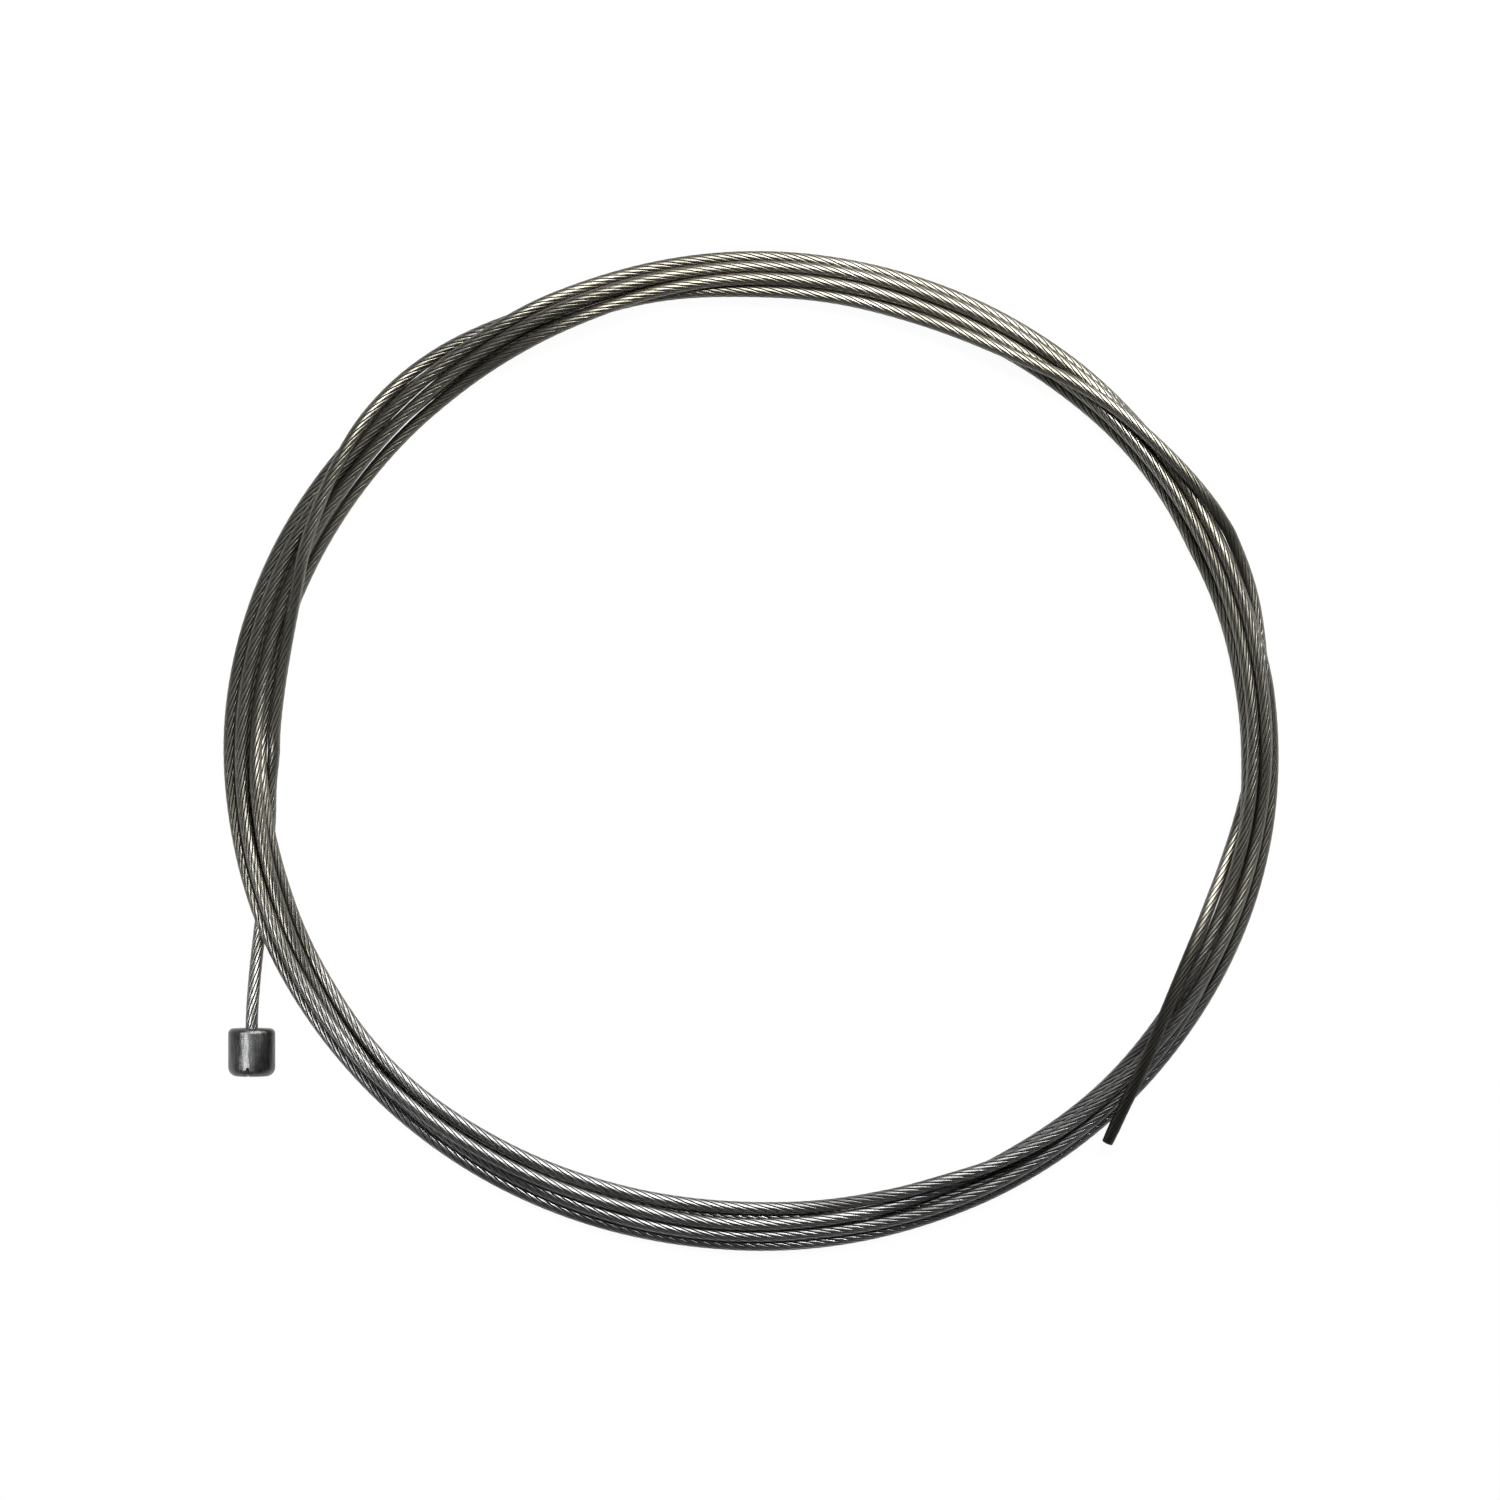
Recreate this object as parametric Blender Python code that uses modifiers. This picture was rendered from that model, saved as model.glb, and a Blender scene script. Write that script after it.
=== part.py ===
# Coiled shift cable: a stranded steel wire with a die-cast head on one end.
# Metres, +Z up. The coil lies on the table at z = 0 and is centred on the origin.
import math

import bmesh
import bpy
import numpy as np

# Wire
WIRE_DIAMETER = 0.0012
TURN_GAP = 0.00005          # left between two turns that touch

# Coil, measured over its outline, which is an ellipse
COIL_LENGTH = 0.1006        # along X
COIL_WIDTH = 0.0953         # along Y

# Head
HEAD_DIAMETER = 0.0045
HEAD_LENGTH = 0.0046
HEAD_RIM_RADIUS = 0.0005    # edge round the face that the wire leaves
HEAD_END_RADIUS = 0.0009    # edge round the closed end
HEAD_BORE_DEPTH = 0.0034
SEAT_GAP = 0.0003           # between the wire and its bore, all round and at the end
HEAD_SIDES = 32
FILLET_STEPS = 5

# Winding
WIND_START = 210.2          # degrees from +X where the wire leaves the head
ANGLE_STEP = 1.5
STEPS_A_TURN = round(360.0 / ANGLE_STEP)
LEAD_ANGLE = 9.0            # how far round the wire comes down from the head to the table
STEEPEST_SLOPE = 10.0       # degrees, as the stiff wire leaves what it lies on
TUBE_TOLERANCE = 0.00004    # how far the tube's straight pieces may cut a bend

# The loop that lays the turns down
LAY_ROUNDS = 500
LAST_ROUNDS = 60            # of those, with the turns only pushed apart
FALL = WIRE_DIAMETER / 600
BEND_STEPS = 6
BEND_SHARE = 1 / 16
PUSH_ROUNDS = 3
LANE_PULL = 0.03
LANE_EASE = 0.45
CROSSING_LAYERS = 2         # turns this many layers apart cross one over the other

WIRE_RADIUS = WIRE_DIAMETER / 2
WIRE_PITCH = WIRE_DIAMETER + TURN_GAP
HALF_LENGTH = COIL_LENGTH / 2
HALF_WIDTH = COIL_WIDTH / 2
HEAD_RADIUS = HEAD_DIAMETER / 2
BORE_RADIUS = WIRE_RADIUS + SEAT_GAP

# The six turns from the head to the free end, wound clockwise as seen from above.
# Each station is an angle in degrees from +X, a lane and a layer. The lane is how far
# the wire's centre lies inside the coil's outline, in wire diameters, and is negative
# outside it. The layer says which turn lies over which, lowest first.
TURNS = (
    (   # out of the head, under the bundle, out over its top and under it again
        (210.2, -4.15, -4), (206.4, -2.33, -4), (202.4, -0.60, -4), (200.0, 0.32, -4),
        (197.5, 1.15, -4), (193.0, 2.25, -4), (189.4, 2.92, -4), (184.0, 3.36, -3),
        (178.0, 3.70, 4), (172.0, 3.88, 9), (166.0, 3.78, 9), (160.7, 3.42, 9),
        (154.0, 2.50, 9), (149.0, 1.85, 9), (144.0, 1.20, 9), (138.0, 0.50, 9),
        (132.0, 0.22, 5), (126.0, 0.35, -3), (120.0, 0.80, -4), (114.0, 1.35, -4),
        (107.0, 2.00, -4), (99.0, 2.60, -3), (90.0, 2.98, 0), (75.0, 2.88, 0),
        (60.0, 2.70, 0), (45.0, 2.42, 0), (25.0, 2.45, 0), (0.0, 2.44, 1),
        (-12.0, 2.02, 1), (-25.0, 1.30, 1), (-36.0, 0.80, 1), (-48.0, 0.64, 1),
        (-61.0, 0.62, 1), (-75.0, 0.82, 1), (-84.0, 1.00, 1), (-92.0, 1.04, 2),
        (-103.0, 1.12, 2), (-115.0, 1.24, 2), (-132.0, 1.36, 2),
    ),
    (
        (207.0, 1.98, 2), (195.0, 2.25, 2), (180.0, 2.50, 2), (160.0, 2.56, 2),
        (146.0, 2.62, 2), (135.0, 2.47, 2), (117.0, 1.95, 2), (101.0, 1.60, 2),
        (90.0, 1.36, 2),
        (69.0, 1.25, 2), (57.0, 1.15, 2), (45.0, 1.02, 2), (30.0, 0.96, 2),
        (15.0, 0.98, 2), (0.0, 1.08, 2), (-15.0, 1.23, 2), (-35.0, 1.50, 2),
        (-53.0, 1.60, 4), (-61.0, 2.02, 4), (-67.0, 2.50, 4), (-74.0, 2.76, 4),
        (-80.0, 2.94, 3), (-90.0, 3.18, 1), (-105.0, 3.20, 1), (-121.0, 2.97, 1),
        (-137.0, 2.60, 1),
    ),
    (
        (207.0, 2.66, 1), (190.0, 2.84, 1), (178.0, 2.98, 1), (168.0, 3.22, 1),
        (158.0, 3.47, 1), (145.0, 3.57, 1), (132.0, 3.45, 1), (117.0, 3.25, 2),
        (109.0, 3.03, 2), (101.0, 2.62, 2), (90.0, 2.27, 2), (66.0, 2.15, 2),
        (52.0, 2.08, 2), (42.0, 2.00, 2), (32.0, 1.95, 2), (20.0, 1.95, 2),
        (0.0, 2.08, 2), (-20.0, 2.15, 2), (-35.0, 2.00, 2), (-49.0, 1.90, 2),
        (-64.0, 1.92, 1), (-76.0, 1.90, 2), (-84.0, 1.88, 3), (-93.0, 1.95, 4),
        (-103.0, 2.10, 4), (-113.0, 2.02, 4), (-130.0, 1.62, 4), (-140.0, 1.32, 3),
    ),
    (   # the outermost turn from the top right to the lower left
        (207.0, 1.20, 3), (197.0, 1.18, 2), (180.0, 1.26, 2), (160.0, 1.42, 2),
        (143.0, 1.50, 2), (128.0, 1.34, 1), (117.0, 1.20, 1), (109.0, 0.90, 1),
        (101.0, 0.66, 0), (90.0, 0.50, 0), (75.0, 0.50, 0), (60.0, 0.60, 0),
        (48.0, 0.86, 0), (38.0, 1.02, 0), (28.0, 1.02, 0), (18.0, 0.90, 1),
        (8.0, 0.66, 1), (0.0, 0.50, 1), (-7.0, 0.40, 0), (-20.0, 0.30, 0),
        (-35.0, 0.22, 0), (-50.0, 0.12, 0), (-61.0, 0.12, 0), (-73.0, 0.18, 0),
        (-90.0, 0.35, 0), (-121.0, 0.41, 0), (-138.0, 0.43, 0),
    ),
    (   # outermost on the left, then low in the bundle
        (205.0, 0.36, 0), (189.0, 0.36, 0), (177.0, 0.33, 0), (166.0, 0.47, 0),
        (152.0, 0.72, 0), (143.0, 0.93, 0), (130.0, 1.28, 0), (119.0, 1.87, 0),
        (109.0, 1.98, 0), (99.0, 1.82, 0), (90.0, 1.75, 0), (69.0, 1.72, 0),
        (45.0, 1.70, 0), (20.0, 1.75, 0), (0.0, 1.55, 0), (-20.0, 1.32, 0),
        (-35.0, 1.28, 0), (-55.0, 1.15, 0), (-73.0, 1.48, 0), (-78.0, 1.98, 0),
        (-84.0, 2.36, 0), (-90.0, 2.52, 0), (-98.0, 2.62, 0), (-112.0, 2.65, 0),
        (-135.0, 2.35, 0),
    ),
    (   # low on the left, over and round the others on the right, then off to the free end
        (207.0, 2.15, 0), (197.0, 2.05, 0), (180.0, 1.95, 0), (160.0, 1.98, 0),
        (143.0, 2.30, 0), (130.0, 2.50, 0), (117.0, 2.62, 0), (107.0, 2.72, 0),
        (99.0, 2.90, 1), (90.0, 3.18, 1), (80.0, 3.15, 2), (70.0, 3.18, 4),
        (64.0, 3.05, 6), (59.0, 2.80, 8), (55.0, 2.40, 9), (49.0, 1.68, 9),
        (44.0, 1.20, 9), (40.0, 0.93, 9), (36.0, 0.62, 8), (32.0, 0.30, 6),
        (28.0, 0.07, 2), (24.0, -0.03, -2), (20.0, 0.00, -3), (17.0, 0.14, -4),
        (14.0, 0.38, -4), (11.0, 0.64, -4), (5.0, 1.35, -4), (-2.0, 2.05, -4),
        (-9.0, 2.65, -4), (-15.0, 3.05, 0), (-21.0, 3.22, 5), (-27.0, 3.08, 9),
        (-31.0, 2.74, 9), (-35.2, 2.14, 9), (-38.9, 1.40, 9), (-42.3, 0.64, 9),
        (-46.4, -0.47, 9), (-49.5, -1.54, 9),
    ),
)


def clear_scene():
    for obj in list(bpy.data.objects):
        bpy.data.objects.remove(obj, do_unlink=True)


def make_collection(name):
    collection = bpy.data.collections.new(name)
    bpy.context.scene.collection.children.link(collection)
    return collection


def make_material(name, colour, roughness, metallic):
    material = bpy.data.materials.new(name)
    material.use_nodes = True
    shader = material.node_tree.nodes["Principled BSDF"]
    shader.inputs["Base Color"].default_value = (*colour, 1.0)
    shader.inputs["Roughness"].default_value = roughness
    shader.inputs["Metallic"].default_value = metallic
    return material


def curve_through(knots, values, at):
    # Smooth curve through the stations, with its slope at each taken from its neighbours
    slopes = np.gradient(values, knots)
    last_span = len(knots) - 2
    before = np.clip(np.searchsorted(knots, at, side="right") - 1, 0, last_span)
    after = before + 1
    span = knots[after] - knots[before]
    t = (at - knots[before]) / span
    rise = t * t * (3 - 2 * t)
    leave = t * (1 - t) ** 2
    arrive = t * t * (t - 1)
    return (
        values[before] * (1 - rise)
        + values[after] * rise
        + span * (leave * slopes[before] + arrive * slopes[after])
    )


def charted_wire():
    # Angle wound since the head, offset from the outline and layer, at every step
    wound = []
    lanes = []
    layers = []
    for number, stations in enumerate(TURNS):
        for angle, lane, layer in stations:
            wound.append(360.0 * number + WIND_START - angle)
            lanes.append(lane)
            layers.append(layer)
    wound = np.array(wound)
    at = np.arange(0.0, wound[-1] + ANGLE_STEP / 2, ANGLE_STEP)
    offset = curve_through(wound, np.array(lanes), at) * WIRE_DIAMETER
    layer = np.interp(at, wound, np.array(layers, dtype=float))
    return at, offset, layer


def stacked_heights(offset, layer):
    # At each angle the turns are laid one on another, from the lowest layer up
    height = np.full(len(offset), WIRE_RADIUS)
    for step in range(STEPS_A_TURN):
        crossing_here = np.arange(step, len(offset), STEPS_A_TURN)
        laid = []
        for this in crossing_here[np.argsort(layer[crossing_here], kind="stable")]:
            for other in laid:
                apart = abs(offset[this] - offset[other])
                if apart < WIRE_PITCH:
                    over = height[other] + math.sqrt(WIRE_PITCH**2 - apart**2)
                    height[this] = max(height[this], over)
            laid.append(this)
    return height


def bridged(height):
    # The stiff wire spans the hollows that it would have to dive into
    step_length = math.pi * (HALF_LENGTH + HALF_WIDTH) / STEPS_A_TURN
    fall_a_step = step_length * math.tan(math.radians(STEEPEST_SLOPE))
    out = height.copy()
    for here in range(1, len(out)):
        out[here] = max(out[here], out[here - 1] - fall_a_step)
    for here in range(len(out) - 2, -1, -1):
        out[here] = max(out[here], out[here + 1] - fall_a_step)
    return out


def eased(values, share):
    out = values.copy()
    out[1:-1] += share * (values[:-2] - 2 * values[1:-1] + values[2:])
    return out


def unbent(values, share):
    # One step of a stiff wire straightening itself
    kinks = np.zeros(len(values))
    kinks[1:-1] = values[:-2] - 2 * values[1:-1] + values[2:]
    out = values.copy()
    out[1:-1] -= share * (kinks[:-2] - 2 * kinks[1:-1] + kinks[2:])
    return out


def push_apart(offset, height, layer):
    # Each turn against every later turn at the same angle
    for turns_between in range(1, len(TURNS)):
        lower = np.arange(max(len(offset) - turns_between * STEPS_A_TURN, 0))
        upper = lower + turns_between * STEPS_A_TURN
        across = offset[upper] - offset[lower]
        up = height[upper] - height[lower]
        layers_up = layer[upper] - layer[lower]
        crosses = np.abs(layers_up) >= CROSSING_LAYERS
        near = np.abs(across) < WIRE_PITCH

        # turns that cross are only lifted, so each keeps its side
        side = np.sign(layers_up)
        needed = np.sqrt(np.clip(WIRE_PITCH**2 - across**2, 0, None))
        lift = np.where(crosses & near, np.clip(needed - side * up, 0, None), 0) * side / 2

        # turns side by side move apart along the line between their centres
        distance = np.hypot(across, up) + WIRE_DIAMETER * 1e-6
        push = np.where(crosses, 0, np.clip(WIRE_PITCH - distance, 0, None)) / (2 * distance)
        offset[lower] -= push * across
        offset[upper] += push * across
        height[lower] -= push * up + lift
        height[upper] += push * up + lift


def laid_wire():
    # The charted turns, settled on the table and on each other without passing through
    at, charted, layer = charted_wire()
    offset = charted.copy()
    height = bridged(stacked_heights(charted, layer))
    lead = at < LEAD_ANGLE
    descent = 0.5 - 0.5 * np.cos(math.pi * at[lead] / LEAD_ANGLE)
    lead_height = HEAD_RADIUS + (WIRE_RADIUS - HEAD_RADIUS) * descent
    for round_number in range(LAY_ROUNDS):
        if round_number < LAY_ROUNDS - LAST_ROUNDS:
            height -= FALL
            for _ in range(BEND_STEPS):
                height = unbent(height, BEND_SHARE)
            offset += LANE_PULL * (charted - offset)
            offset = charted + eased(offset - charted, LANE_EASE)
        for _ in range(PUSH_ROUNDS):
            push_apart(offset, height, layer)
            height = np.maximum(height, WIRE_RADIUS)
            height[lead] = lead_height
    return at, offset, height


def wire_route():
    # Points of the wire's centre line, from the bottom of its bore to the free end
    at, offset, height = laid_wire()
    angle = np.radians(WIND_START - at)
    across = np.cos(angle) / HALF_LENGTH
    along = np.sin(angle) / HALF_WIDTH
    normal = np.hypot(across, along)
    coil = np.stack(
        (
            HALF_LENGTH * np.cos(angle) - offset * across / normal,
            HALF_WIDTH * np.sin(angle) - offset * along / normal,
            height,
        ),
        axis=1,
    )
    low = coil[:, :2].min(axis=0)
    high = coil[:, :2].max(axis=0)
    coil[:, :2] -= (low + high) / 2
    seat = coil[0] - np.array((0.0, HEAD_BORE_DEPTH - SEAT_GAP, 0.0))
    return np.vstack((seat, coil))


def thinned(points, tolerance):
    # Fewer points, each as far along as the straight piece to it stays close to the route
    kept = [0]
    here = 0
    while here < len(points) - 1:
        reach = here + 1
        while reach + 1 < len(points):
            chord = points[reach + 1] - points[here]
            between = points[here + 1 : reach + 1] - points[here]
            share = between @ chord / (chord @ chord)
            miss = np.linalg.norm(between - share[:, None] * chord, axis=1).max()
            if miss > tolerance:
                break
            reach += 1
        kept.append(reach)
        here = reach
    return points[kept]


def make_wire(collection, material, route):
    curve = bpy.data.curves.new("inner_wire", "CURVE")
    curve.dimensions = "3D"
    curve.bevel_depth = WIRE_RADIUS
    curve.bevel_resolution = 2
    curve.render_resolution_u = 0
    curve.use_fill_caps = True
    points = thinned(route, TUBE_TOLERANCE)
    spline = curve.splines.new("POLY")
    spline.points.add(len(points) - 1)
    for target, point in zip(spline.points, points):
        target.co = (*point, 1.0)
    curve.materials.append(material)
    wire = bpy.data.objects.new("inner_wire", curve)
    collection.objects.link(wire)
    return wire


def fillet(centre_x, centre_z, radius, start, end):
    points = []
    for step in range(FILLET_STEPS + 1):
        turn = math.radians(start + (end - start) * step / FILLET_STEPS)
        points.append((centre_x + radius * math.cos(turn), centre_z + radius * math.sin(turn)))
    return points


def head_profile():
    # Radius and height along the head's axis: up the bore, over the face, down the outside
    face = HEAD_LENGTH
    bore_floor = face - HEAD_BORE_DEPTH
    profile = [(0.0, bore_floor), (BORE_RADIUS, bore_floor), (BORE_RADIUS, face)]
    rim = HEAD_RIM_RADIUS
    profile += fillet(HEAD_RADIUS - rim, face - rim, rim, 90, 0)
    end = HEAD_END_RADIUS
    profile += fillet(HEAD_RADIUS - end, end, end, 0, -90)
    profile.append((0.0, 0.0))
    return profile


def make_head(collection, material, face_centre):
    mesh = bpy.data.meshes.new("cable_head")
    shape = bmesh.new()
    vertices = [shape.verts.new((radius, 0.0, height)) for radius, height in head_profile()]
    for first, second in zip(vertices, vertices[1:]):
        shape.edges.new((first, second))
    shape.to_mesh(mesh)
    shape.free()
    mesh.materials.append(material)
    head = bpy.data.objects.new("cable_head", mesh)
    collection.objects.link(head)

    turned = head.modifiers.new("turned", "SCREW")
    turned.axis = "Z"
    turned.steps = HEAD_SIDES
    turned.render_steps = HEAD_SIDES
    turned.use_merge_vertices = True
    turned.merge_threshold = 0.00001
    turned.use_smooth_shade = True

    # the axis is laid over so that the wire leaves along +Y
    head.rotation_euler = (-math.pi / 2, 0.0, 0.0)
    head.location = (face_centre[0], face_centre[1] - HEAD_LENGTH, face_centre[2])
    return head


def build():
    clear_scene()
    collection = make_collection("shift_cable")
    steel = make_material("stranded_steel", (0.45, 0.44, 0.40), 0.32, 1.0)
    cast = make_material("cast_zinc", (0.33, 0.34, 0.34), 0.38, 1.0)
    route = wire_route()
    make_wire(collection, steel, route)
    make_head(collection, cast, route[1])


build()
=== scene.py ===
# Coiled shift cable: a stranded steel wire lying in a loose ring, with a cast head on one end
import math

import bpy
import numpy as np
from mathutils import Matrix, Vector


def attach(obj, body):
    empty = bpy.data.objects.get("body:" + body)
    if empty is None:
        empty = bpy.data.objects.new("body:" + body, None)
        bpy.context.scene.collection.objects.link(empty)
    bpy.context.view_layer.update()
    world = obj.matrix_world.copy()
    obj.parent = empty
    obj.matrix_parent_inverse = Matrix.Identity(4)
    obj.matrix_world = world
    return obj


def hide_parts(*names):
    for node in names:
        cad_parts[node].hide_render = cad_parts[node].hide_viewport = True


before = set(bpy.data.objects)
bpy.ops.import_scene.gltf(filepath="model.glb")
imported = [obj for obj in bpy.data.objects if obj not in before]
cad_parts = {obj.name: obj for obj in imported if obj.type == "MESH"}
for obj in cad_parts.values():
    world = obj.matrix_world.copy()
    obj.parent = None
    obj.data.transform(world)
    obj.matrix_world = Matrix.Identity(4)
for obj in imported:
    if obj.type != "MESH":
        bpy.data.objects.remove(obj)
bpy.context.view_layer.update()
bpy.ops.object.select_all(action="DESELECT")
scene = bpy.context.scene


# Camera: straight above the coil, with a long lens

photoFrame = {
    "side": 0.14325,        # what the square picture takes in, at the height of the coil
    "centreX": -0.0000955,
    "centreY": 0.0000955,
    "height": 0.0012,       # the height at which that size holds
    "lens": 240.0,
    "sensor": 36.0,
}


def makeCamera():
    distance = photoFrame["side"] * photoFrame["lens"] / photoFrame["sensor"]
    place = (photoFrame["centreX"], photoFrame["centreY"], photoFrame["height"] + distance)
    bpy.ops.object.camera_add(location=place, rotation=(0.0, 0.0, 0.0))
    camera = bpy.context.object
    camera.data.lens = photoFrame["lens"]
    camera.data.sensor_width = photoFrame["sensor"]
    camera.data.clip_start = 0.01
    camera.data.clip_end = 20.0
    scene.camera = camera


makeCamera()
print("camera ready")


# The wire's route, laid down as in the CAD model

wire = {
    "diameter": 0.0012,
    "turnGap": 0.00005,
    "coilLength": 0.1006,       # outline along X
    "coilWidth": 0.0953,        # outline along Y
    "headRadius": 0.00225,
    "boreDepth": 0.0034,
    "seatGap": 0.0003,
    "windStart": 210.2,         # degrees from +X where the wire leaves the head
    "angleStep": 1.5,
    "leadAngle": 9.0,
    "steepestSlope": 10.0,
    "layRounds": 500,
    "lastRounds": 60,
    "bendSteps": 6,
    "bendShare": 1 / 16,
    "pushRounds": 3,
    "lanePull": 0.03,
    "laneEase": 0.45,
    "crossingLayers": 2,
}
wire["radius"] = wire["diameter"] / 2
wire["pitch"] = wire["diameter"] + wire["turnGap"]
wire["fall"] = wire["diameter"] / 600
stepsATurn = round(360.0 / wire["angleStep"])

# Angle in degrees from +X, lane in wire diameters inside the outline, and layer, for each
# of the six turns from the head to the free end, wound clockwise
turns = (
    (
        (210.2, -4.15, -4), (206.4, -2.33, -4), (202.4, -0.60, -4), (200.0, 0.32, -4),
        (197.5, 1.15, -4), (193.0, 2.25, -4), (189.4, 2.92, -4), (184.0, 3.36, -3),
        (178.0, 3.70, 4), (172.0, 3.88, 9), (166.0, 3.78, 9), (160.7, 3.42, 9),
        (154.0, 2.50, 9), (149.0, 1.85, 9), (144.0, 1.20, 9), (138.0, 0.50, 9),
        (132.0, 0.22, 5), (126.0, 0.35, -3), (120.0, 0.80, -4), (114.0, 1.35, -4),
        (107.0, 2.00, -4), (99.0, 2.60, -3), (90.0, 2.98, 0), (75.0, 2.88, 0),
        (60.0, 2.70, 0), (45.0, 2.42, 0), (25.0, 2.45, 0), (0.0, 2.44, 1),
        (-12.0, 2.02, 1), (-25.0, 1.30, 1), (-36.0, 0.80, 1), (-48.0, 0.64, 1),
        (-61.0, 0.62, 1), (-75.0, 0.82, 1), (-84.0, 1.00, 1), (-92.0, 1.04, 2),
        (-103.0, 1.12, 2), (-115.0, 1.24, 2), (-132.0, 1.36, 2),
    ),
    (
        (207.0, 1.98, 2), (195.0, 2.25, 2), (180.0, 2.50, 2), (160.0, 2.56, 2),
        (146.0, 2.62, 2), (135.0, 2.47, 2), (117.0, 1.95, 2), (101.0, 1.60, 2),
        (90.0, 1.36, 2),
        (69.0, 1.25, 2), (57.0, 1.15, 2), (45.0, 1.02, 2), (30.0, 0.96, 2),
        (15.0, 0.98, 2), (0.0, 1.08, 2), (-15.0, 1.23, 2), (-35.0, 1.50, 2),
        (-53.0, 1.60, 4), (-61.0, 2.02, 4), (-67.0, 2.50, 4), (-74.0, 2.76, 4),
        (-80.0, 2.94, 3), (-90.0, 3.18, 1), (-105.0, 3.20, 1), (-121.0, 2.97, 1),
        (-137.0, 2.60, 1),
    ),
    (
        (207.0, 2.66, 1), (190.0, 2.84, 1), (178.0, 2.98, 1), (168.0, 3.22, 1),
        (158.0, 3.47, 1), (145.0, 3.57, 1), (132.0, 3.45, 1), (117.0, 3.25, 2),
        (109.0, 3.03, 2), (101.0, 2.62, 2), (90.0, 2.27, 2), (66.0, 2.15, 2),
        (52.0, 2.08, 2), (42.0, 2.00, 2), (32.0, 1.95, 2), (20.0, 1.95, 2),
        (0.0, 2.08, 2), (-20.0, 2.15, 2), (-35.0, 2.00, 2), (-49.0, 1.90, 2),
        (-64.0, 1.92, 1), (-76.0, 1.90, 2), (-84.0, 1.88, 3), (-93.0, 1.95, 4),
        (-103.0, 2.10, 4), (-113.0, 2.02, 4), (-130.0, 1.62, 4), (-140.0, 1.32, 3),
    ),
    (
        (207.0, 1.20, 3), (197.0, 1.18, 2), (180.0, 1.26, 2), (160.0, 1.42, 2),
        (143.0, 1.50, 2), (128.0, 1.34, 1), (117.0, 1.20, 1), (109.0, 0.90, 1),
        (101.0, 0.66, 0), (90.0, 0.50, 0), (75.0, 0.50, 0), (60.0, 0.60, 0),
        (48.0, 0.86, 0), (38.0, 1.02, 0), (28.0, 1.02, 0), (18.0, 0.90, 1),
        (8.0, 0.66, 1), (0.0, 0.50, 1), (-7.0, 0.40, 0), (-20.0, 0.30, 0),
        (-35.0, 0.22, 0), (-50.0, 0.12, 0), (-61.0, 0.12, 0), (-73.0, 0.18, 0),
        (-90.0, 0.35, 0), (-121.0, 0.41, 0), (-138.0, 0.43, 0),
    ),
    (
        (205.0, 0.36, 0), (189.0, 0.36, 0), (177.0, 0.33, 0), (166.0, 0.47, 0),
        (152.0, 0.72, 0), (143.0, 0.93, 0), (130.0, 1.28, 0), (119.0, 1.87, 0),
        (109.0, 1.98, 0), (99.0, 1.82, 0), (90.0, 1.75, 0), (69.0, 1.72, 0),
        (45.0, 1.70, 0), (20.0, 1.75, 0), (0.0, 1.55, 0), (-20.0, 1.32, 0),
        (-35.0, 1.28, 0), (-55.0, 1.15, 0), (-73.0, 1.48, 0), (-78.0, 1.98, 0),
        (-84.0, 2.36, 0), (-90.0, 2.52, 0), (-98.0, 2.62, 0), (-112.0, 2.65, 0),
        (-135.0, 2.35, 0),
    ),
    (
        (207.0, 2.15, 0), (197.0, 2.05, 0), (180.0, 1.95, 0), (160.0, 1.98, 0),
        (143.0, 2.30, 0), (130.0, 2.50, 0), (117.0, 2.62, 0), (107.0, 2.72, 0),
        (99.0, 2.90, 1), (90.0, 3.18, 1), (80.0, 3.15, 2), (70.0, 3.18, 4),
        (64.0, 3.05, 6), (59.0, 2.80, 8), (55.0, 2.40, 9), (49.0, 1.68, 9),
        (44.0, 1.20, 9), (40.0, 0.93, 9), (36.0, 0.62, 8), (32.0, 0.30, 6),
        (28.0, 0.07, 2), (24.0, -0.03, -2), (20.0, 0.00, -3), (17.0, 0.14, -4),
        (14.0, 0.38, -4), (11.0, 0.64, -4), (5.0, 1.35, -4), (-2.0, 2.05, -4),
        (-9.0, 2.65, -4), (-15.0, 3.05, 0), (-21.0, 3.22, 5), (-27.0, 3.08, 9),
        (-31.0, 2.74, 9), (-35.2, 2.14, 9), (-38.9, 1.40, 9), (-42.3, 0.64, 9),
        (-46.4, -0.47, 9), (-49.5, -1.54, 9),
    ),
)


def curveThrough(knots, values, at):
    # smooth curve through the stations, its slope at each taken from its neighbours
    slopes = np.gradient(values, knots, axis=0)
    before = np.clip(np.searchsorted(knots, at, side="right") - 1, 0, len(knots) - 2)
    after = before + 1
    span = knots[after] - knots[before]
    t = (at - knots[before]) / span
    rise = t * t * (3 - 2 * t)
    leave = span * t * (1 - t) ** 2
    arrive = span * t * t * (t - 1)
    if values.ndim > 1:
        rise, leave, arrive = rise[:, None], leave[:, None], arrive[:, None]
    line = values[before] * (1 - rise) + values[after] * rise
    return line + leave * slopes[before] + arrive * slopes[after]


def chartedWire():
    wound = []
    lanes = []
    layers = []
    for number, stations in enumerate(turns):
        for angle, lane, layer in stations:
            wound.append(360.0 * number + wire["windStart"] - angle)
            lanes.append(lane)
            layers.append(layer)
    wound = np.array(wound)
    at = np.arange(0.0, wound[-1] + wire["angleStep"] / 2, wire["angleStep"])
    offset = curveThrough(wound, np.array(lanes), at) * wire["diameter"]
    return at, offset, np.interp(at, wound, np.array(layers, dtype=float))


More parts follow.
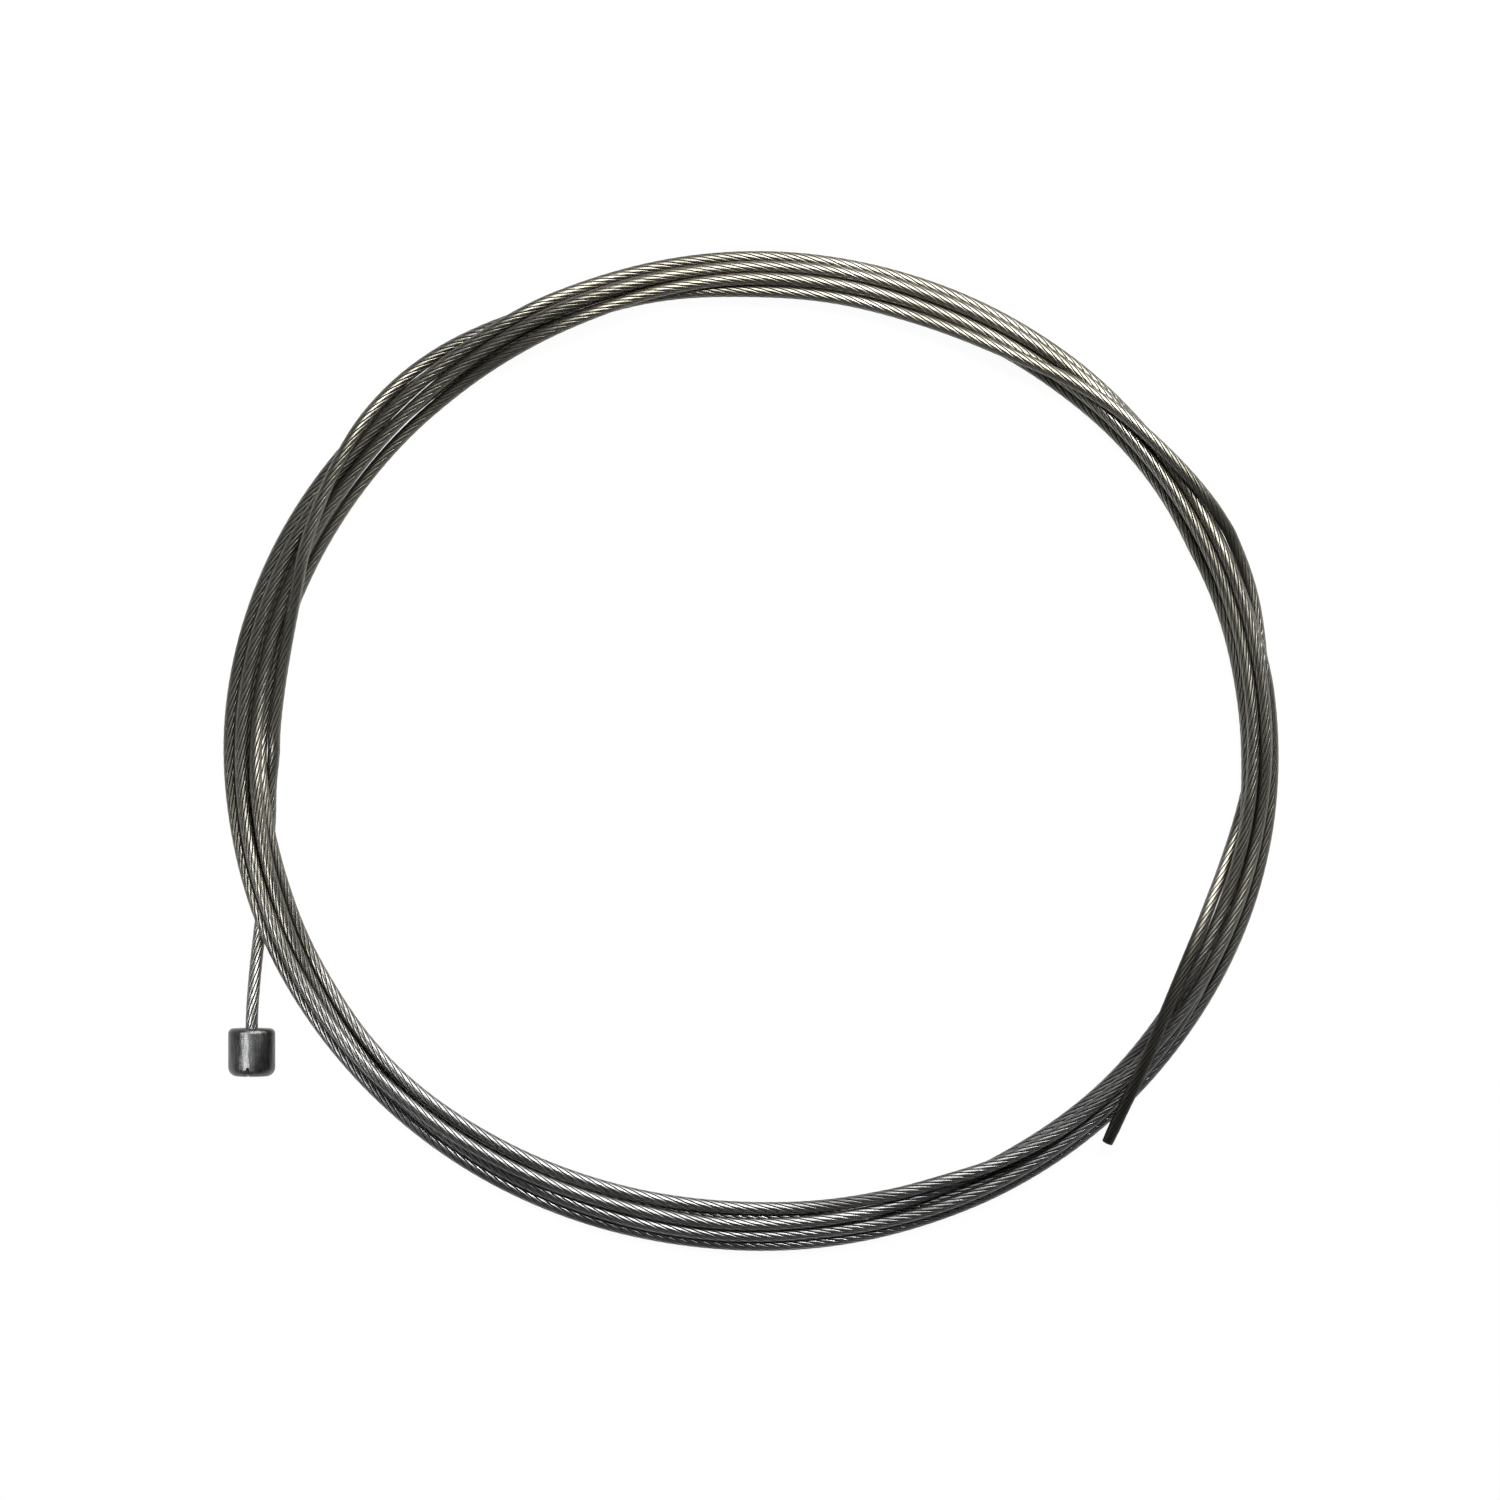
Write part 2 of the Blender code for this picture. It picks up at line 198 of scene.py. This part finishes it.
def stackedHeights(offset, layer):
    # at each angle the turns are laid one on another, from the lowest layer up
    pitch = wire["pitch"]
    height = np.full(len(offset), wire["radius"])
    for step in range(stepsATurn):
        crossingHere = np.arange(step, len(offset), stepsATurn)
        laid = []
        for this in crossingHere[np.argsort(layer[crossingHere], kind="stable")]:
            for other in laid:
                apart = abs(offset[this] - offset[other])
                if apart < pitch:
                    height[this] = max(height[this], height[other] + math.sqrt(pitch**2 - apart**2))
            laid.append(this)
    return height


def bridged(height):
    # the stiff wire spans the hollows that it would have to dive into
    stepLength = math.pi * (wire["coilLength"] + wire["coilWidth"]) / 2 / stepsATurn
    fallAStep = stepLength * math.tan(math.radians(wire["steepestSlope"]))
    out = height.copy()
    for here in range(1, len(out)):
        out[here] = max(out[here], out[here - 1] - fallAStep)
    for here in range(len(out) - 2, -1, -1):
        out[here] = max(out[here], out[here + 1] - fallAStep)
    return out


def eased(values, share):
    out = values.copy()
    out[1:-1] += share * (values[:-2] - 2 * values[1:-1] + values[2:])
    return out


def unbent(values, share):
    # one step of a stiff wire straightening itself
    kinks = np.zeros(len(values))
    kinks[1:-1] = values[:-2] - 2 * values[1:-1] + values[2:]
    out = values.copy()
    out[1:-1] -= share * (kinks[:-2] - 2 * kinks[1:-1] + kinks[2:])
    return out


def pushApart(offset, height, layer):
    pitch = wire["pitch"]
    for turnsBetween in range(1, len(turns)):
        lower = np.arange(max(len(offset) - turnsBetween * stepsATurn, 0))
        upper = lower + turnsBetween * stepsATurn
        across = offset[upper] - offset[lower]
        up = height[upper] - height[lower]
        layersUp = layer[upper] - layer[lower]
        crosses = np.abs(layersUp) >= wire["crossingLayers"]
        near = np.abs(across) < pitch
        side = np.sign(layersUp)
        needed = np.sqrt(np.clip(pitch**2 - across**2, 0, None))
        lift = np.where(crosses & near, np.clip(needed - side * up, 0, None), 0) * side / 2
        distance = np.hypot(across, up) + wire["diameter"] * 1e-6
        push = np.where(crosses, 0, np.clip(pitch - distance, 0, None)) / (2 * distance)
        offset[lower] -= push * across
        offset[upper] += push * across
        height[lower] -= push * up + lift
        height[upper] += push * up + lift


def laidWire():
    at, charted, layer = chartedWire()
    offset = charted.copy()
    height = bridged(stackedHeights(charted, layer))
    lead = at < wire["leadAngle"]
    descent = 0.5 - 0.5 * np.cos(math.pi * at[lead] / wire["leadAngle"])
    leadHeight = wire["headRadius"] + (wire["radius"] - wire["headRadius"]) * descent
    for roundNumber in range(wire["layRounds"]):
        if roundNumber < wire["layRounds"] - wire["lastRounds"]:
            height -= wire["fall"]
            for _ in range(wire["bendSteps"]):
                height = unbent(height, wire["bendShare"])
            offset += wire["lanePull"] * (charted - offset)
            offset = charted + eased(offset - charted, wire["laneEase"])
        for _ in range(wire["pushRounds"]):
            pushApart(offset, height, layer)
            height = np.maximum(height, wire["radius"])
            height[lead] = leadHeight
    return at, offset, height


def wireRoute():
    # centre line from the bottom of the head's bore to the free end
    at, offset, height = laidWire()
    angle = np.radians(wire["windStart"] - at)
    halfLength = wire["coilLength"] / 2
    halfWidth = wire["coilWidth"] / 2
    across = np.cos(angle) / halfLength
    along = np.sin(angle) / halfWidth
    normal = np.hypot(across, along)
    x = halfLength * np.cos(angle) - offset * across / normal
    y = halfWidth * np.sin(angle) - offset * along / normal
    coil = np.stack((x, y, height), axis=1)
    coil[:, :2] -= (coil[:, :2].min(axis=0) + coil[:, :2].max(axis=0)) / 2
    seat = coil[0] - np.array((0.0, wire["boreDepth"] - wire["seatGap"], 0.0))
    return np.vstack((seat, coil))


route = wireRoute()
exitPoint = route[1]
print("route laid:", len(route), "points")


# A socket that takes Python's operators, so that shader maths reads as expressions


class Paint:
    def __init__(self, tree, socket):
        self.tree = tree
        self.socket = socket

    def maths(self, operation, *others, clamp=False):
        node = self.tree.nodes.new("ShaderNodeMath")
        node.operation = operation
        node.use_clamp = clamp
        for place, value in enumerate((self, *others)):
            plug(self.tree, node.inputs[place], value)
        return Paint(self.tree, node.outputs[0])

    def __add__(self, other):
        return self.maths("ADD", other)

    def __radd__(self, other):
        return self.maths("ADD", other)

    def __sub__(self, other):
        return self.maths("SUBTRACT", other)

    def __mul__(self, other):
        return self.maths("MULTIPLY", other)

    def clamped(self):
        return self.maths("MULTIPLY", 1.0, clamp=True)


def plug(tree, socket, value):
    if isinstance(value, Paint):
        tree.links.new(value.socket, socket)
    else:
        socket.default_value = value


class Finish:
    # a material with its Principled shader
    def __init__(self, name):
        self.material = bpy.data.materials.new(name)
        self.material.use_nodes = True
        self.tree = self.material.node_tree
        self.shader = self.tree.nodes["Principled BSDF"]

    def add(self, kind, settings=None, output=0, **values):
        node = self.tree.nodes.new(kind)
        for name, value in (settings or {}).items():
            setattr(node, name, value)
        for name, value in values.items():
            plug(self.tree, findSocket(node.inputs, name), value)
        if isinstance(output, str):
            return Paint(self.tree, findSocket(node.outputs, output))
        return Paint(self.tree, node.outputs[output])

    def mixed(self, factor, first, second):
        node = self.tree.nodes.new("ShaderNodeMix")
        node.data_type = "RGBA"
        colours = [s for s in node.inputs if s.type == "RGBA"]
        plug(self.tree, node.inputs[0], factor)
        plug(self.tree, colours[0], first)
        plug(self.tree, colours[1], second)
        return Paint(self.tree, [s for s in node.outputs if s.type == "RGBA"][0])

    def wear(self, **values):
        for name, value in values.items():
            plug(self.tree, findSocket(self.shader.inputs, name), value)
        return self.material


def findSocket(sockets, name):
    wanted = name.lower().replace(" ", "")
    return [s for s in sockets if s.name.lower().replace(" ", "") == wanted and s.enabled][0]


steelLook = {
    "filmScale": 140.0,         # broad patches of oil
    "fineScale": 2200.0,
    "oiled": (0.25, 0.246, 0.226, 1.0),
    "oiledDull": (0.10, 0.095, 0.076, 1.0),
    # painted light: the south side's colours are cooler, and a little darker in their dull patches, standing
    # in for the colder light falling there
    "clean": (0.26, 0.262, 0.268, 1.0),
    "cleanDull": (0.085, 0.086, 0.090, 1.0),
    "tip": (0.040, 0.039, 0.034, 1.0),
    "roughness": 0.25,
    "addedRoughness": 0.12,     # where it is dull, and again at the tip
    "cleanerBySouth": -50.0,    # a metre of the way south; the south side of the coil gets a painted cooler tint, standing in for the colder light there
    "cleanerFrom": 0.6,
}


def drawnSteel():
    # the burnished crowns of the outer wires, under a thin uneven film of old oil
    look = steelLook
    steel = Finish("drawn_steel")
    place = steel.add("ShaderNodeTexCoord", output="Object")
    broad = steel.add("ShaderNodeTexNoise", Vector=place, Scale=look["filmScale"], Detail=3.0, Roughness=0.5)
    fine = steel.add("ShaderNodeTexNoise", Vector=place, Scale=look["fineScale"], Detail=2.0, Roughness=0.6)
    northwards = steel.add("ShaderNodeSeparateXYZ", Vector=place, output="Y")
    nearTip = steel.add("ShaderNodeAttribute", {"attribute_name": "nearTip"}, output="Fac")
    film = (broad * 2.4 - 0.7).clamped()
    dull = (film * 0.6 + fine * 0.9 - 0.25).clamped()
    # painted light: the south side of the coil takes the cooler colours, standing in for the colder light
    # there
    southCooler = (northwards * look["cleanerBySouth"] - look["cleanerFrom"]).clamped()
    oiled = steel.mixed(dull, look["oiled"], look["oiledDull"])
    clean = steel.mixed(dull, look["clean"], look["cleanDull"])
    colour = steel.mixed(nearTip, steel.mixed(southCooler, oiled, clean), look["tip"])
    roughness = look["roughness"] + dull * look["addedRoughness"] + nearTip * look["addedRoughness"]
    return steel.wear(BaseColor=colour, Roughness=roughness, Metallic=1.0)


# near-black painted shade for the hollows between the wires, over a little oil dirt
grooveShadeLook = {
    "colour": (0.022, 0.021, 0.017, 1.0),
    "roughness": 0.5,
    "metallic": 0.6,
}


def shadedGrooveSteel():
    # the flanks between the outer wires, where the oil has gathered dirt, darkened to near black with painted
    # shade for the hollows between the wires; the core wears it too
    steel = Finish("groove_painted_shade")
    return steel.wear(
        BaseColor=grooveShadeLook["colour"],
        Roughness=grooveShadeLook["roughness"],
        Metallic=grooveShadeLook["metallic"],
    )


zincLook = {
    "flowScale": 2300.0,
    "flowStretch": (1.0, 0.14, 1.0),
    "skinScale": 800.0,
    "grainScale": 5200.0,
    "dark": (0.040, 0.042, 0.042, 1.0),
    "pale": (0.125, 0.127, 0.130, 1.0),
    "roughness": 0.30,
    "addedRoughness": 0.10,
    "bumpStrength": 0.8,
    "bumpHeight": 0.00014,
}


def castZinc():
    # dull cast skin, with flow marks that run down from where the wire goes in
    look = zincLook
    zinc = Finish("cast_zinc")
    place = zinc.add("ShaderNodeTexCoord", output="Object")
    drawnOut = zinc.add("ShaderNodeMapping", Vector=place, Scale=look["flowStretch"])
    flow = zinc.add("ShaderNodeTexNoise", Vector=drawnOut, Scale=look["flowScale"], Detail=3.0, Roughness=0.6)
    skin = zinc.add("ShaderNodeTexNoise", Vector=place, Scale=look["skinScale"], Detail=4.0, Roughness=0.6)
    grain = zinc.add("ShaderNodeTexNoise", Vector=place, Scale=look["grainScale"], Detail=3.0, Roughness=0.6)
    stain = (skin * 1.2 + flow * 1.2 - 0.7).clamped()
    colour = zinc.mixed(stain, look["dark"], look["pale"])
    relief = flow * 0.6 + skin * 0.3 + grain * 0.1
    bump = zinc.add(
        "ShaderNodeBump",
        Height=relief,
        Strength=look["bumpStrength"],
        Distance=look["bumpHeight"],
    )
    roughness = look["roughness"] + stain * look["addedRoughness"]
    return zinc.wear(BaseColor=colour, Roughness=roughness, Metallic=1.0, Normal=bump)


crownFinish = drawnSteel()
grooveShadeFinish = shadedGrooveSteel()
zincFinish = castZinc()
print("finishes ready")


# The strand: nine outer wires twisted left-handed round a core, bright on their crowns and
# dark on their flanks with oil dirt and painted shade

strand = {
    "outerWires": 9,
    "lay": 0.0099,              # length in which an outer wire goes once round
    "ringStep": 0.0005,
    "crownRadius": 0.00040,     # the drawn crown is flatter than a round wire
    "crownHalfWidth": 0.000152,
    "crownSides": 6,
    "flank": ((0.000172, 0.000520), (0.000160, 0.000450)),     # across, and out from the middle
    "coreRadius": 0.00044,
    "coreSides": 12,
    "endTaper": 0.90,           # the cut end is drawn in a little
    "taperLength": 0.0025,
    "darkTip": 0.026,           # how far the burnt stretch before the cut reaches
    "darkFade": 0.006,
}


def lengthsAlong(points):
    return np.concatenate(((0.0,), np.cumsum(np.linalg.norm(np.diff(points, axis=0), axis=1))))


def fineLine():
    # the route at even steps along the wire
    along = lengthsAlong(route)
    rings = round(along[-1] / strand["ringStep"]) + 1
    return curveThrough(along, route, np.linspace(0.0, along[-1], rings))


def frames(line):
    # at each point: forwards, out to the side and upwards
    forward = np.gradient(line, axis=0)
    forward /= np.linalg.norm(forward, axis=1)[:, None]
    side = np.cross(forward, np.array((0.0, 0.0, 1.0)))
    side /= np.linalg.norm(side, axis=1)[:, None]
    return forward, side, np.cross(side, forward)


def sweptMesh(name, line, turned, radius, nearTip, finishes, finishOfSide):
    # a section swept along the line, each of its corners given by its turn and its radius
    forward, side, up = frames(line)
    rings, sides = turned.shape
    out = np.cos(turned)[:, :, None] * side[:, None] + np.sin(turned)[:, :, None] * up[:, None]
    points = line[:, None] + radius[:, :, None] * out
    here = np.arange(rings - 1)[:, None] * sides + np.arange(sides)[None]
    beside = np.arange(rings - 1)[:, None] * sides + (np.arange(sides)[None] + 1) % sides
    faces = np.stack((here, beside, beside + sides, here + sides), axis=2).reshape(-1, 4).tolist()
    faces.append(list(range(sides))[::-1])
    faces.append([(rings - 1) * sides + corner for corner in range(sides)])
    mesh = bpy.data.meshes.new(name)
    mesh.from_pydata(points.reshape(-1, 3).tolist(), [], faces)
    smooth = [finish == finishOfSide[0] for finish in finishOfSide]
    mesh.polygons.foreach_set("use_smooth", smooth * (rings - 1) + [False] * 2)
    for finish in finishes:
        mesh.materials.append(finish)
    mesh.polygons.foreach_set("material_index", finishOfSide * (rings - 1) + finishOfSide[-1:] * 2)
    tipMark = mesh.attributes.new("nearTip", "FLOAT", "POINT")
    tipMark.data.foreach_set("value", np.repeat(nearTip, sides))
    piece = bpy.data.objects.new(name, mesh)
    scene.collection.objects.link(piece)
    return piece


def strandPieces():
    line = fineLine()
    along = lengthsAlong(line)
    left = np.clip((along[-1] - along) / strand["taperLength"], 0.0, 1.0)
    drawnIn = strand["endTaper"] + (1 - strand["endTaper"]) * left * (2 - left)
    nearTip = np.clip((strand["darkTip"] - (along[-1] - along)) / strand["darkFade"], 0.0, 1.0)
    half = strand["crownHalfWidth"]
    crown = np.linspace(-half, half, strand["crownSides"] + 1)
    dip = strand["crownRadius"] - np.sqrt(strand["crownRadius"] ** 2 - crown**2)
    flankAcross, flankOut = np.array(strand["flank"]).T
    across = np.concatenate((crown, flankAcross, -flankAcross[::-1]))
    outwards = np.concatenate((wire["radius"] - dip, flankOut, flankOut[::-1]))
    radius = drawnIn[:, None] * np.hypot(across, outwards)[None]
    finishOfSide = [0] * strand["crownSides"] + [1] * (2 * len(flankOut) + 1)
    outer = []
    # the flanks take the groove finish, which is painted shade over oil dirt
    finishes = (crownFinish, grooveShadeFinish)
    for number in range(strand["outerWires"]):
        twist = 2 * math.pi * (number / strand["outerWires"] - along / strand["lay"])
        turned = twist[:, None] + np.arctan2(across, outwards)[None]
        name = f"outer_wire_{number + 1:02d}"
        outer.append(sweptMesh(name, line, turned, radius, nearTip, finishes, finishOfSide))
    sides = strand["coreSides"]
    turned = np.broadcast_to(np.arange(sides) * 2 * math.pi / sides, (len(line), sides))
    coreRadius = np.broadcast_to(strand["coreRadius"] * drawnIn[:, None], (len(line), sides))
    # the core takes the same painted-shade groove finish
    core = sweptMesh("wire_core", line, turned, coreRadius, nearTip, (grooveShadeFinish,), [0] * sides)
    return line, outer, core


centreLine, outerWires, wireCore = strandPieces()
for piece in (wireCore, *outerWires):
    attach(piece, "root")
    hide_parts("inner_wire")
print("strand laid:", len(centreLine), "rings")


# The cast head: a short cylinder with soft rims, a dished face round the wire's bore, and a
# gate mark and a nick at its closed end

head = {
    "radius": 0.00225,
    "length": 0.0046,
    "sides": 96,
    "seatRim": 0.0005,
    "endRim": 0.0009,
    "rimSteps": 6,
    "dishBorder": 0.00040,
    "dishSlope": 0.00012,
    "dishDepth": 0.00006,
    "boreBorder": 0.00055,
    "boreDepth": 0.0034,
    "gateBorder": 0.00060,
    "gateSlope": 0.00010,
    "gateDepth": 0.00006,
    "nickAcross": -0.0003,      # of its middle, from the head's axis
    "nickHalfWidth": 0.00012,
    "nickDepth": 0.00012,
    "nickReach": 0.8,           # how much of the end's rim it takes in
    "nickAbove": 1.3,           # lowest point, in radii above the floor
    "smoothAngle": 35.0,
}


def selectInMesh(piece, kind, test):
    # leaves the piece in edit mode, with what passes the test selected
    bpy.ops.object.mode_set(mode="EDIT")
    bpy.ops.mesh.select_mode(type=kind)
    bpy.ops.mesh.select_all(action="DESELECT")
    bpy.ops.object.mode_set(mode="OBJECT")
    vertices = piece.data.vertices
    if kind == "FACE":
        for face in piece.data.polygons:
            face.select = test(face.center, face.normal)
    elif kind == "EDGE":
        for edge in piece.data.edges:
            edge.select = all(test(vertices[end].co) for end in edge.vertices)
    else:
        for vertex in vertices:
            vertex.select = test(vertex.co)
    bpy.ops.object.mode_set(mode="EDIT")


def castHead():
    faceY = exitPoint[1]
    endY = faceY - head["length"]
    middle = (exitPoint[0], (faceY + endY) / 2, head["radius"])
    hair = head["length"] * 1e-3
    bpy.ops.mesh.primitive_cylinder_add(
        vertices=head["sides"],
        radius=head["radius"],
        depth=head["length"],
        location=middle,
        rotation=(-math.pi / 2, 0.0, 0.0),
    )
    piece = bpy.context.object
    piece.name = "cast_head"
    piece.data.name = "cast_head"
    bpy.ops.object.transform_apply(location=True, rotation=True, scale=True)
    selectInMesh(piece, "EDGE", lambda co: co.y > faceY - hair)
    bpy.ops.mesh.bevel(offset=head["seatRim"], segments=head["rimSteps"], affect="EDGES")
    selectInMesh(piece, "EDGE", lambda co: co.y < endY + hair)
    bpy.ops.mesh.bevel(offset=head["endRim"], segments=head["rimSteps"], affect="EDGES")
    selectInMesh(piece, "FACE", lambda centre, normal: normal.y > 0.999)
    bpy.ops.mesh.inset(thickness=head["dishBorder"])
    bpy.ops.mesh.inset(thickness=head["dishSlope"], depth=-head["dishDepth"])
    bpy.ops.mesh.inset(thickness=head["boreBorder"])
    bpy.ops.mesh.extrude_region_move(TRANSFORM_OT_translate={"value": (0.0, -head["boreDepth"], 0.0)})
    selectInMesh(piece, "FACE", lambda centre, normal: normal.y < -0.999)
    bpy.ops.mesh.inset(thickness=head["gateBorder"])
    bpy.ops.mesh.inset(thickness=head["gateSlope"], depth=-head["gateDepth"])
    nickX = middle[0] + head["nickAcross"]
    reach = endY + head["endRim"] * head["nickReach"]
    lowest = head["radius"] * head["nickAbove"]
    selectInMesh(
        piece,
        "VERT",
        lambda co: abs(co.x - nickX) < head["nickHalfWidth"] and co.z > lowest and co.y < reach,
    )
    bpy.ops.transform.translate(value=(0.0, head["nickDepth"], -head["nickDepth"]))
    bpy.ops.mesh.select_all(action="DESELECT")
    bpy.ops.object.mode_set(mode="OBJECT")
    bpy.ops.object.shade_smooth_by_angle(angle=math.radians(head["smoothAngle"]))
    piece.data.materials.append(zincFinish)
    piece.select_set(False)
    return piece


headPiece = castHead()
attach(headPiece, "root")
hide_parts("cable_head")
print("head cast:", len(headPiece.data.polygons), "faces")


# Floor and light

room = {
    "floorSide": 3.0,
    "floorColour": (0.86, 0.86, 0.86, 1.0),
    "white": 0.96,              # how far the floor glows white to the camera and in the metal
    "worldColour": (0.15, 0.15, 0.145, 1.0),
}


def makeFloor():
    bpy.ops.mesh.primitive_plane_add(size=room["floorSide"], location=(0.0, 0.0, 0.0))
    floor = bpy.context.object
    floor.name = "floor"
    pale = Finish("pale_floor")
    pale.wear(BaseColor=room["floorColour"], Roughness=0.9)
    rays = pale.add("ShaderNodeLightPath", output="Is Camera Ray")
    glossy = pale.add("ShaderNodeLightPath", output="Is Glossy Ray")
    through = pale.add("ShaderNodeLightPath", output="Is Transmission Ray")
    seen = (rays + glossy + through).clamped()
    glow = pale.add("ShaderNodeEmission", Color=(1.0, 1.0, 1.0, 1.0), Strength=1.0)
    both = pale.tree.nodes.new("ShaderNodeMixShader")
    plug(pale.tree, both.inputs[0], seen * room["white"])
    pale.tree.links.new(pale.shader.outputs[0], both.inputs[1])
    pale.tree.links.new(glow.socket, both.inputs[2])
    pale.tree.links.new(both.outputs[0], pale.tree.nodes["Material Output"].inputs["Surface"])
    floor.data.materials.append(pale.material)


lamps = {
    "north_key": {
        "place": (0.15, 0.44, 0.95),
        "size": (0.10, 0.10),
        "power": 5.5,
        "colour": (1.0, 0.99, 0.97),
        "target": (0.0, 0.0, 0.0),
    },
    "near_panel": {             # close over the far side of the coil, which it warms
        "place": (0.060, 0.150, 0.12),
        "size": (0.22, 0.18),
        "power": 0.95,
        "colour": (1.0, 0.955, 0.88),
        "target": (0.035, 0.075, 0.0),
    },
    "wide_panel": {
        "place": (0.22, 0.46, 0.62),
        "size": (0.50, 0.40),
        "power": 2.1,
        "colour": (0.98, 0.99, 1.0),
        "target": (0.0, 0.0, 0.0),
    },
    "head_panel": {             # draws the streak down the cast head
        "place": (-0.061, -0.030, 0.0295),
        "size": (0.042, 0.01),
        "power": 0.018,
        "colour": (1.0, 0.99, 0.97),
        "target": (-0.048, -0.029, 0.004),
    },
    "west_key": {
        "place": (-0.60, 0.05, 0.70),
        "size": (0.06, 0.06),
        "power": 0.12,
        "colour": (1.0, 0.98, 0.95),
        "target": (0.0, 0.0, 0.0),
    },
}


def makeLamp(name, place, size, power, colour, target):
    bpy.ops.object.light_add(type="AREA", location=place)
    lamp = bpy.context.object
    lamp.name = name
    lamp.data.shape = "RECTANGLE"
    lamp.data.size = size[0]
    lamp.data.size_y = size[1]
    lamp.data.energy = power
    lamp.data.color = colour
    lamp.visible_camera = False
    backwards = lamp.location - Vector(target)
    lamp.rotation_euler = backwards.to_track_quat("Z", "Y").to_euler()


def makeLight():
    world = bpy.data.worlds.new("studio")
    world.use_nodes = True
    background = world.node_tree.nodes["Background"]
    background.inputs["Color"].default_value = room["worldColour"]
    background.inputs["Strength"].default_value = 1.0
    scene.world = world
    for name, lamp in lamps.items():
        makeLamp(name, **lamp)


makeFloor()
makeLight()
scene.view_settings.view_transform = "Standard"
print("floor and light ready")
